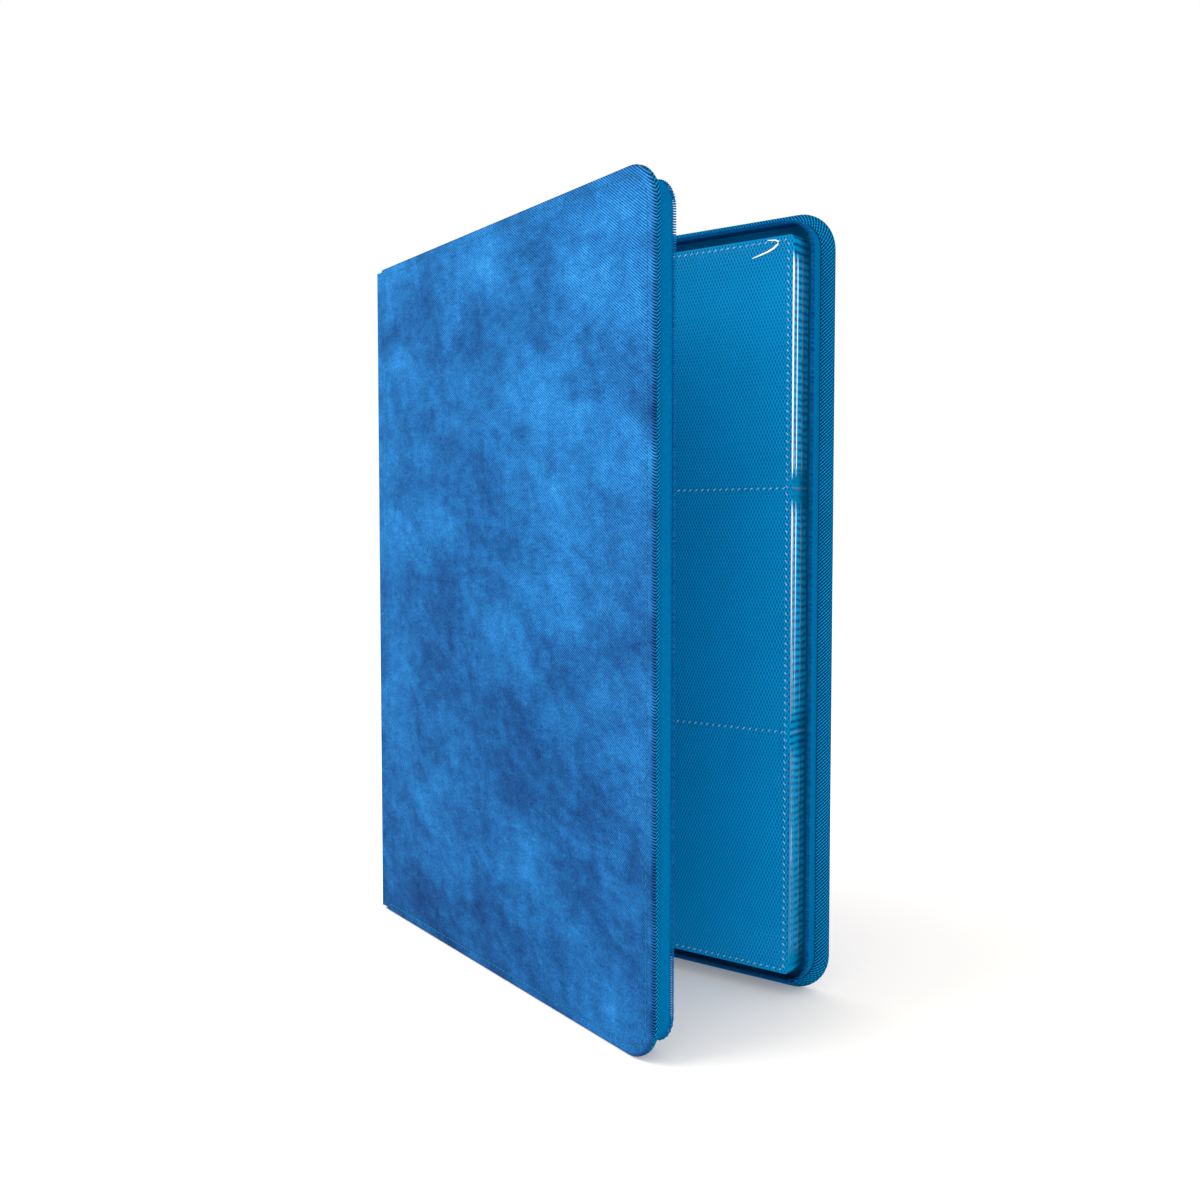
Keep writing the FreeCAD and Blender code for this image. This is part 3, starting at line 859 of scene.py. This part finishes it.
def make_coil(side, place):
    """Bent filament teeth: a flattened spiral along the edge of the tape, sewn over a thin core."""
    stations = route(COIL_START, 0.18 * MM, corner_steps=90)
    pitch = 0.9 * MM
    path = []
    for station in stations:
        turn = 2 * math.pi * station.travelled / pitch
        inset = TAPE_INSET + 0.7 * MM * math.sin(turn)
        depth = COIL_MIDDLE + 0.85 * MM * math.cos(turn)
        path.append(at_station(place, station, inset, depth))
    shape = Shape()
    tube(shape, path, 0.3 * MM, sides=5)
    piece = make_piece(f"{side}_zipper_coil", shape, [COIL], weld=1e-8)
    settle(piece, f"{side}_cover", "coil", f"{side}_zip_coil")
    core = Shape()
    line = [at_station(place, station, TAPE_INSET, CORE_DEPTH) for station in route(COIL_START, 2 * MM)]
    tube(core, line, 0.42 * MM, sides=8)
    settle(make_piece(f"{side}_coil_core", core, [TAPE]), f"{side}_cover", "tape")


def make_lining(side, place):
    """Thin inner cloth glued over the board, tucked behind the tape."""
    shape = Shape()
    flat = LINING_DEPTH - 0.02 * MM
    rings = [(1.4 * MM, 2.95 * MM), (1.9 * MM, LINING_DEPTH - 0.05 * MM), (5 * MM, flat)]
    rings += [(9 * MM, None), (CORNER, None)]

    def field(along, height):
        return flat + 0.04 * MM * ripple(along, height, 0.1, 30 * MM)

    panel(shape, place, rings, COVER_START + 0.7 * MM, 5.0 * MM, field)
    piece = make_piece(f"{side}_inner_cloth", shape, [LINING], weld=2e-5)
    thicken(piece, 0.2 * MM, 1.0)
    settle(piece, f"{side}_cover", "lining_cloth", f"{side}_lining")


def make_foam(side, place):
    """Thin foam pad between the outer cloth and the board, with soft edges."""
    shape = Shape()
    low, high = 0.85 * MM, 1.65 * MM
    middle = (low + high) / 2
    left = COVER_START + 0.8 * MM
    crown = 0.08 * MM
    top_rings = [(1.5 * MM, middle), (1.6 * MM, low + 0.15 * MM), (1.9 * MM, low)]
    top_rings += [(8 * MM, None), (CORNER, None)]
    bottom_rings = [(1.5 * MM, middle), (1.6 * MM, high - 0.1 * MM), (1.9 * MM, high), (CORNER, high)]

    def top_field(along, height):
        return low + crown * ripple(along, height, 0.9, 25 * MM)

    panel(shape, place, top_rings, left, 6.0 * MM, top_field)
    panel(shape, place, bottom_rings, left, 6.0 * MM, lambda along, height: high)
    piece = make_piece(f"{side}_foam_pad", shape, [FOAM], weld=2e-5)
    settle(piece, f"{side}_cover", "foam", f"{side}_padding")


def make_stops(side, place):
    """Crimped metal clips that end the coil, near the spine at the top and bottom edges."""
    shape = Shape()
    for height in (TAPE_INSET, COVER_HEIGHT - TAPE_INSET):
        for reach in (1.1 * MM, 0.85 * MM):
            rows = []
            for along in steps(COIL_START - 2 * MM, COIL_START, 0.4 * MM):
                squeeze = 1 - 0.25 * abs(along - (COIL_START - MM)) / MM
                row = []
                for turn in steps(0, 1.75 * math.pi, math.pi / 6):
                    across = reach * squeeze * math.cos(turn)
                    up = reach * squeeze * math.sin(turn)
                    row.append(place(along, COIL_MIDDLE + across, height + up))
                rows.append(row)
            shape.add_grid(rows)
    piece = make_piece(f"{side}_zipper_stops", shape, [STEEL])
    settle(piece, f"{side}_cover", "bare_metal", f"{side}_zip_stops")


for cover_side, cover_place in COVERS.items():
    make_skin(cover_side, cover_place)
    make_cover_stitching(cover_side, cover_place)
    make_edge_band(cover_side, cover_place)
    make_tape(cover_side, cover_place)
    make_coil(cover_side, cover_place)
    make_lining(cover_side, cover_place)
    make_foam(cover_side, cover_place)
    make_stops(cover_side, cover_place)
    frame["nodes"][f"{cover_side}_board"].data.materials[0] = BOARD


# ---------------- spine and creases

def crease_line(side):
    """Plan of the cloth that turns from the spine on to a cover, as points at height 0."""
    hinge, place = (REAR_HINGE, on_rear) if side == "rear" else (FRONT_HINGE, on_front)
    towards_spine = Vector((0, -1 if side == "rear" else 1, 0))
    along_cover = (place(1, 0, 0) - place(0, 0, 0)).normalized()
    corner = Vector((hinge.x, hinge.y, 0))
    start = corner + towards_spine * (3.0 * MM)
    end = corner + along_cover * LIP_END
    tight = 0.6 * MM
    first = corner + towards_spine * tight
    second = corner + along_cover * tight
    line = [start.lerp(first, share) for share in steps(0, 1, 0.34)]
    for share in steps(0, 1, 0.125)[1:]:
        line.append(first.lerp(corner, share).lerp(corner.lerp(second, share), share))
    line += [second.lerp(end, share) for share in steps(0, 1, 0.25)[1:]]
    outward = -(towards_spine + along_cover).normalized()
    bulge = 0.3 * MM if side == "rear" else 0.7 * MM
    spread = 1.6 * MM
    return [spot + outward * bulge * math.exp(-((spot - corner).length / spread) ** 2) for spot in line]


def make_crease(side):
    """Strip of cover cloth that bends between the spine and a cover."""
    shape = Shape()
    line = crease_line(side)
    heights = steps(SPINE_SHORT, COVER_HEIGHT - SPINE_SHORT, 4 * MM)
    face, back = 0.06 * MM, 0.5 * MM
    turn = 1 if side == "rear" else -1
    travelled = 0.0
    rows = []
    cloth = []
    for i, spot in enumerate(line):
        if i:
            travelled += (spot - line[i - 1]).length
        ahead = line[min(i + 1, len(line) - 1)]
        behind = line[max(i - 1, 0)]
        direction = (ahead - behind).normalized()
        inward = Vector((direction.y, -direction.x, 0)) * turn
        outer = [Vector((spot.x, spot.y, height)) + inward * face for height in heights]
        inner = [Vector((spot.x, spot.y, height)) + inward * back for height in heights]
        spots = [(travelled - 8 * MM, height, 0.0) for height in heights]
        rows.append(outer + inner[::-1])
        cloth.append(spots + spots[::-1])
    shape.add_grid(rows, cloth, closed=True, caps=True)
    piece = make_piece(f"{side}_crease_cloth", shape, [SUEDE])
    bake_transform(piece)


def make_spine_cloth():
    """Outer cloth of the spine: rolled over its four edges, with rounded corners."""
    shape = Shape()
    half = SPINE_WIDTH / 2 - 1.1 * MM
    middle = (REAR_HINGE.y + FRONT_HINGE.y) / 2
    low, high = SPINE_SHORT, COVER_HEIGHT - SPINE_SHORT
    corner = 2 * MM
    roll = 0.9 * MM
    wrap = 2.3 * MM
    near_edge = [0.0, 0.12 * MM, 0.4 * MM, 0.9 * MM, 1.4 * MM, corner]
    heights = [low + value for value in near_edge] + steps(low + 4 * MM, high - 4 * MM, 4 * MM)
    heights += [high - value for value in reversed(near_edge)]
    across = [-half + value for value in near_edge] + steps(-half + 4 * MM, half - 4 * MM, 2 * MM)
    across += [half - value for value in reversed(near_edge)]
    rows = []
    cloth = []
    for sideways in [across[0]] + across + [across[-1]]:
        row = []
        spots = []
        wrapped_side = len(rows) in (0, len(across) + 1)
        for height in [low] + heights + [high]:
            wrapped_end = len(row) in (0, len(heights) + 1)
            near_end = min(height - low, high - height)
            near_side = half - abs(sideways)
            rounding = 0.0
            if near_end < corner:
                rounding = corner - math.sqrt(corner ** 2 - (corner - near_end) ** 2)
            shown = max(-half + rounding, min(half - rounding, sideways))
            side_drop = 0.8 * MM * max(0.0, 1 - near_side / roll) ** 2
            end_drop = 0.8 * MM * max(0.0, 1 - near_end / roll) ** 2
            depth = max(side_drop, end_drop) - 0.5 * face_relief(sideways, height)
            if wrapped_side or wrapped_end:
                depth = wrap
            row.append(Vector((REAR_HINGE.x + depth, middle + shown, height)))
            spots.append((sideways - 60 * MM, height, 0.0))
        rows.append(row)
        cloth.append(spots)
    shape.add_grid(rows, cloth)
    piece = make_piece("spine_outer_cloth", shape, [SUEDE], weld=2e-5)
    thicken(piece, 0.35 * MM, -1.0)
    settle(piece, "spine", "suede_cloth", "spine_skin")


def make_spine_lining():
    """Inner cloth of the spine, a little uneven."""
    shape = Shape()
    low_corner, high_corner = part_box("spine_lining")
    heights = steps(low_corner.z, high_corner.z, 5 * MM)
    bulge = 0.05 * MM
    face = high_corner.x - bulge
    rows = []
    cloth = []
    for y in steps(low_corner.y, high_corner.y, 2.5 * MM):
        rows.append([Vector((face + bulge * ripple(y, z, 0, 20 * MM), y, z)) for z in heights])
        cloth.append([(y, z, 0.0) for z in heights])
    shape.add_grid(rows, cloth)
    piece = make_piece("spine_inner_cloth", shape, [LINING])
    thicken(piece, 0.25 * MM, -1.0)
    settle(piece, "spine", "lining_cloth", "spine_lining")


def make_binding():
    """Folded strip sewn to the spine: one rib for each leaf and a flat sewn flange."""
    shape = Shape()
    low_corner, high_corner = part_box("page_binding")
    back = low_corner.x
    flange_end = low_corner.y
    rib = 0.62 * MM
    flange = back + 0.4 * MM
    profile = [(back, high_corner.y), (back, flange_end), (flange, flange_end)]
    profile += [(flange, FRONT_LEAF - 0.25 * MM), (high_corner.x - 0.5 * MM, FRONT_LEAF - 0.05 * MM)]
    for y in steps(FRONT_LEAF, high_corner.y, (high_corner.y - FRONT_LEAF) / (4 * len(PAGE_NODES))):
        wave = 0.12 * MM * math.cos(2 * math.pi * (y - FRONT_LEAF) / rib - math.pi)
        profile.append((high_corner.x - 0.14 * MM + wave, y))
    rows = []
    cloth = []
    for z in steps(low_corner.z, high_corner.z, 5 * MM):
        rows.append([Vector((x, y, z)) for x, y in profile])
        cloth.append([(x + y, z, 0.0) for x, y in profile])
    shape.add_grid(rows, cloth, closed=True, caps=True)
    piece = make_piece("binding_strip", shape, [LINING])
    settle(piece, "spine", "lining_cloth", "page_binding")
    stitches = Shape()
    stitch_low, stitch_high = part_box("binding_stitching")
    y = (stitch_low.y + stitch_high.y) / 2
    path = [Vector((stitch_low.x, y, z)) for z in steps(low_corner.z + MM, high_corner.z - MM, 4 * MM)]
    stitch_run(stitches, path, Vector((1, 0, 0)), 2.3 * MM, 0.18 * MM)
    piece = make_piece("binding_stitches", stitches, [TEAL_THREAD], weld=1e-7)
    settle(piece, "spine", "blue_thread", "binding_stitching")


make_crease("rear")
make_crease("front")
make_spine_cloth()
make_spine_lining()
make_binding()
frame["nodes"]["spine_board"].data.materials[0] = BOARD


# ---------------- pages

def on_leaf(along, y, height):
    """A place on a leaf, as far along from the rear cover's hinge."""
    return Vector((REAR_HINGE.x + along, y, height))


def leaf_outline_inset(height):
    """How far the free edge is pulled in at a height, by the rounded corners."""
    near = min(height - PAGE_LOW, PAGE_HIGH - height)
    if near >= PAGE_CORNER:
        return 0.0
    return PAGE_CORNER - math.sqrt(PAGE_CORNER ** 2 - (PAGE_CORNER - near) ** 2)


def leaf_rows(low, high, corner):
    """Heights of a leaf's rows, closer together where its corners turn."""
    bend = [corner * (1 - math.cos(math.pi / 2 * share)) for share in steps(0, 1, 0.2)]
    middle = steps(low + corner, high - corner, 10 * MM)
    return [low + value for value in bend[:-1]] + middle + [high - value for value in reversed(bend[:-1])]


def make_leaf(node, middle):
    """Woven backing with its bound margin and the white pocket seams."""
    shape = Shape()
    half = 0.12 * MM
    left = BINDING_FACE - 0.2 * MM
    alongs = steps(left, MARGIN_END, 0.5 * MM) + steps(14 * MM, 218 * MM, 12 * MM) + [222 * MM, PAGE_FREE]
    heights = leaf_rows(PAGE_LOW, PAGE_HIGH, PAGE_CORNER)
    for sense in (-1, 1):
        rows = []
        cloth = []
        for along in alongs:
            row = []
            for height in heights:
                shown = min(along, PAGE_FREE - leaf_outline_inset(height))
                row.append(on_leaf(shown, middle + sense * half, height))
            rows.append(row)
            cloth.append([(along, height, 0.0) for height in heights])
        shape.add_grid(rows, cloth)
    columns = len(heights)
    per_side = len(alongs) * columns
    rim = [row * columns for row in range(len(alongs))]
    rim += [(len(alongs) - 1) * columns + step for step in range(1, columns)]
    rim += [row * columns + columns - 1 for row in reversed(range(len(alongs) - 1))]
    rim += reversed(range(1, columns - 1))
    loop = rim + [rim[0]]
    walls = [(first, second, second + per_side, first + per_side) for first, second in zip(loop, loop[1:])]
    shape.faces += walls
    shape.kinds += [2] * len(walls)
    level = steps(POCKET_COLUMNS[0], POCKET_COLUMNS[-1], 6 * MM)
    upright = steps(POCKET_ROWS[0], POCKET_ROWS[-1], 6 * MM)
    for sense in (-1, 1):
        y = middle + sense * (half + 0.02 * MM)
        seams = [[on_leaf(along, y, height) for along in level] for height in POCKET_ROWS]
        seams += [[on_leaf(along, y, height) for height in upright] for along in POCKET_COLUMNS]
        for path in seams:
            add_seam(shape, path, Vector((0, sense, 0)))
    piece = make_piece(f"{node}_leaf", shape, [PAGE_CLOTH, WHITE_THREAD, PAGE_EDGE], weld=1e-7)
    start, end = [on_leaf(along, middle, 0) for along in (BINDING_FACE, MARGIN_END)]
    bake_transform(piece)
    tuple(start)
    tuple(end)
    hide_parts(node)


def add_seam(shape, path, outward):
    """White slanted stitches along a path on the leaf."""
    first = len(shape.kinds)
    stitch_run(shape, path, outward, 1.5 * MM, 0.17 * MM, slant=0.8, parts=(-0.5, 0.0, 0.5))
    shape.kinds[first:] = [1] * (len(shape.kinds) - first)


def make_film(node, middle):
    """Clear pocket films on both faces: each pocket puffs up between its seams."""
    shape = Shape()
    wall = 0.14 * MM
    for sense in (-1, 1):
        for low, high in zip(POCKET_ROWS, POCKET_ROWS[1:]):
            for left, right in zip(POCKET_COLUMNS, POCKET_COLUMNS[1:]):
                rows = []
                cloth = []
                for share in steps(0, 1, 1 / 8):
                    row = []
                    spots = []
                    for lift_share in steps(0, 1, 1 / 10):
                        along = left + (right - left) * share
                        height = low + (high - low) * lift_share
                        puff = min(1.0, 7 * min(share, 1 - share, lift_share, 1 - lift_share))
                        away = wall + 0.08 * MM * puff
                        row.append(on_leaf(along, middle + sense * away, height))
                        spots.append((along, height, 0.0))
                    rows.append(row)
                    cloth.append(spots)
                shape.add_grid(rows, cloth)
    add_film_rim(shape, node, middle)
    piece = make_piece(f"{node}_film", shape, [FILM, FILM_EDGE, DIM_GLINT, PAGE_EDGE], face_out=False)
    settle(piece, node, "page_plastic")


def add_film_rim(shape, node, middle):
    """Welded film rim along the free edge, pinched where the seams cross it."""
    number = PAGE_NODES.index(node)
    radius, kind = FILM_RIMS.get(number, PLAIN_RIM)
    for low, high in zip(POCKET_ROWS, POCKET_ROWS[1:]):
        heights = steps(low + 2.5 * MM, high - 3.5 * MM, 4 * MM)
        bow = [0.15 * MM * ripple(height, number, 0.4, 60 * MM) for height in heights]
        free = PAGE_FREE - 0.2 * MM
        path = [on_leaf(free + drift, middle, height) for height, drift in zip(heights, bow)]
        # material 1 or 2 paints a white or grey highlight along this rim
        tube(shape, path, lambda t: radius * min(1.0, 0.25 + 9 * min(t, 1 - t)), sides=8, kind=kind)


def make_film_fold_glint(node, middle):
    """A curled fold of the pocket film near the top outer corner of the front leaf, painted white with the
    film-edge material as a highlight.
    """
    spots = [(206.6, 302.0), (210.0, 302.8), (213.6, 303.7), (216.4, 304.8),
             (218.2, 306.1), (218.7, 307.1), (217.2, 307.9), (213.6, 308.3)]
    shape = Shape()
    path = [on_leaf(along * MM, middle - 0.33 * MM, height * MM) for along, height in spots]

    def radius(t):
        return 0.36 * MM * (0.15 + math.sin(math.pi * min(1.0, 0.12 + 0.8 * t)))

    tube(shape, path, radius, sides=8, flatten=Vector((0, 1, 0)))
    piece = make_piece(f"{node}_film_fold_glint", shape, [FILM_EDGE])
    settle(piece, node, "page_plastic")


for page_node in PAGE_NODES:
    page_low, page_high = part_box(page_node)
    page_middle = (page_low.y + page_high.y) / 2
    make_leaf(page_node, page_middle)
    make_film(page_node, page_middle)
make_film_fold_glint(PAGE_NODES[-1], page_middle)


# ---------------- slider and puller

def rounded_copy(name, node, width, material):
    """A detailed piece on a CAD node's own shape, with its edges rounded over."""
    mesh = frame["nodes"][node].data.copy()
    mesh.name = name
    mesh.materials.clear()
    mesh.materials.append(material)
    work = bmesh.new()
    work.from_mesh(mesh)
    bmesh.ops.remove_doubles(work, verts=work.verts, dist=1e-6)
    bmesh.ops.dissolve_limit(work, angle_limit=math.radians(2), verts=work.verts, edges=work.edges)
    work.to_mesh(mesh)
    work.free()
    mesh.shade_smooth()
    piece = add_object(name, mesh)
    bevel = piece.modifiers.new("rounding", "BEVEL")
    bevel.width = width
    bevel.segments = 2
    bevel.limit_method = "ANGLE"
    bevel.angle_limit = math.radians(40)
    return piece


slider = rounded_copy("slider_casting", "slider_body", 0.18 * MM, LACQUER)
settle(slider, "slider", "dark_metal", "slider_body")
puller = rounded_copy("pull_tab", "zip_puller", 0.2 * MM, LACQUER)
settle(puller, "puller", "dark_metal", "zip_puller")
frame["nodes"]["slider_pin"].data.materials[0] = STEEL
